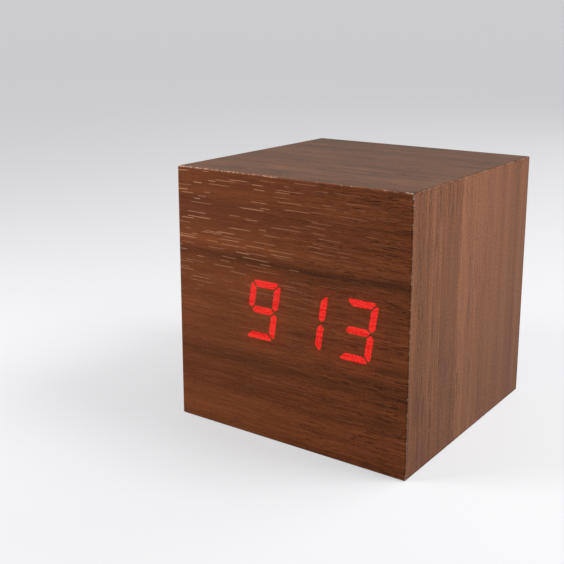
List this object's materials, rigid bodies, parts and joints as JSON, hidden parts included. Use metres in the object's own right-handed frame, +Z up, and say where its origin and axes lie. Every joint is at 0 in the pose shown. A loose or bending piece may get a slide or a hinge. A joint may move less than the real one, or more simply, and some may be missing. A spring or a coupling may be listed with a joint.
{
  "type": "led desk clock",
  "caption": "Wood-veneered cube desk clock with a red segment display that shines through its front veneer, and a rear housing with battery door, buttons and power socket.",
  "frame": {"origin": "centre of the base, on the surface the clock stands on", "axes": "+Z up, the display faces -Y, +X is to the right of someone who reads the display"},
  "size_m": [0.063, 0.063, 0.063],
  "materials": {
    "walnut_veneer": "satin dark walnut veneer",
    "fibreboard": "raw fibreboard",
    "softwood": "raw softwood",
    "reflector_plastic": "matte",
    "lit_resin": "lit red resin",
    "dark_resin": "unlit milky resin",
    "circuit_laminate": "green solder mask",
    "gold_plate": "bright",
    "nickel": "nickel-plated",
    "screw_steel": "zinc-plated",
    "chip_resin": "matte black moulding",
    "capacitor_sleeve": "shrink sleeve",
    "nylon": "natural nylon",
    "grey_pvc": "satin",
    "red_pvc": "satin",
    "black_pvc": "satin",
    "black_abs": "fine spark-eroded texture",
    "cell_jacket": "printed shrink jacket, unmarked",
    "button_abs": "satin",
    "socket_plastic": "smooth black moulding"
  },
  "bodies": {
    "case": {"top_board": "fibreboard", "right_board": "fibreboard", "bottom_board": "fibreboard", "left_board": "fibreboard", "front_board": "fibreboard", "corner_blocks": "softwood", "top_veneer": "walnut_veneer", "right_veneer": "walnut_veneer", "bottom_veneer": "walnut_veneer", "left_veneer": "walnut_veneer", "front_veneer": "walnut_veneer", "top_banding": "walnut_veneer", "right_banding": "walnut_veneer", "bottom_banding": "walnut_veneer", "left_banding": "walnut_veneer", "display_reflector": "reflector_plastic", "lit_segments": "lit_resin", "dark_segments": "dark_resin", "display_substrate": "circuit_laminate", "led_chips": "gold_plate", "display_pins": "nickel", "main_board": "circuit_laminate", "board_spacers": "nylon", "board_screws": "screw_steel", "controller_chip": "chip_resin", "quartz_crystal": "nickel", "buzzer": "chip_resin", "smoothing_capacitor": "capacitor_sleeve", "coin_cell_holder": "black_abs", "coin_cell": "nickel", "ribbon_headers": "nylon", "ribbon_cable": "grey_pvc", "rear_housing": "black_abs", "housing_screws": "screw_steel", "battery_cells": "nickel", "cell_jackets": "cell_jacket", "negative_contact": "nickel", "positive_contact": "nickel", "left_link_contact": "nickel", "right_link_contact": "nickel", "contact_springs": "nickel", "battery_lead_red": "red_pvc", "battery_lead_black": "black_pvc", "socket_leads": "grey_pvc", "switch_bodies": "nickel", "button_board": "circuit_laminate", "button_board_screws": "screw_steel", "power_socket": "socket_plastic", "socket_pin": "nickel"},
    "door": {"battery_door": "black_abs"},
    "set_key": {"set_button": "button_abs"},
    "up_key": {"up_button": "button_abs"},
    "down_key": {"down_button": "button_abs"},
    "set_switch": {"set_plunger": "chip_resin"},
    "up_switch": {"up_plunger": "chip_resin"},
    "down_switch": {"down_plunger": "chip_resin"}
  },
  "joints": [
    {"name": "battery_door_hinge", "type": "hinge", "parent": "case", "child": "door", "pos_m": [0, 0.0294, 0.01305], "axis": [-1, 0, 0], "range_deg": [0, 85]},
    {"name": "set_button_press", "type": "slide", "parent": "case", "child": "set_key", "axis": [0, -1, 0], "range_m": [0, 0.0003], "stiffness_N_per_m": 4000},
    {"name": "up_button_press", "type": "slide", "parent": "case", "child": "up_key", "axis": [0, -1, 0], "range_m": [0, 0.0003], "stiffness_N_per_m": 4000},
    {"name": "down_button_press", "type": "slide", "parent": "case", "child": "down_key", "axis": [0, -1, 0], "range_m": [0, 0.0003], "stiffness_N_per_m": 4000},
    {"name": "set_plunger_press", "type": "slide", "parent": "case", "child": "set_switch", "axis": [0, -1, 0], "range_m": [0, 0.0003]},
    {"name": "up_plunger_press", "type": "slide", "parent": "case", "child": "up_switch", "axis": [0, -1, 0], "range_m": [0, 0.0003]},
    {"name": "down_plunger_press", "type": "slide", "parent": "case", "child": "down_switch", "axis": [0, -1, 0], "range_m": [0, 0.0003]}
  ],
  "couplings": [
    {"joint": "set_plunger_press", "follows": "set_button_press", "ratio": 1},
    {"joint": "up_plunger_press", "follows": "up_button_press", "ratio": 1},
    {"joint": "down_plunger_press", "follows": "down_button_press", "ratio": 1}
  ]
}
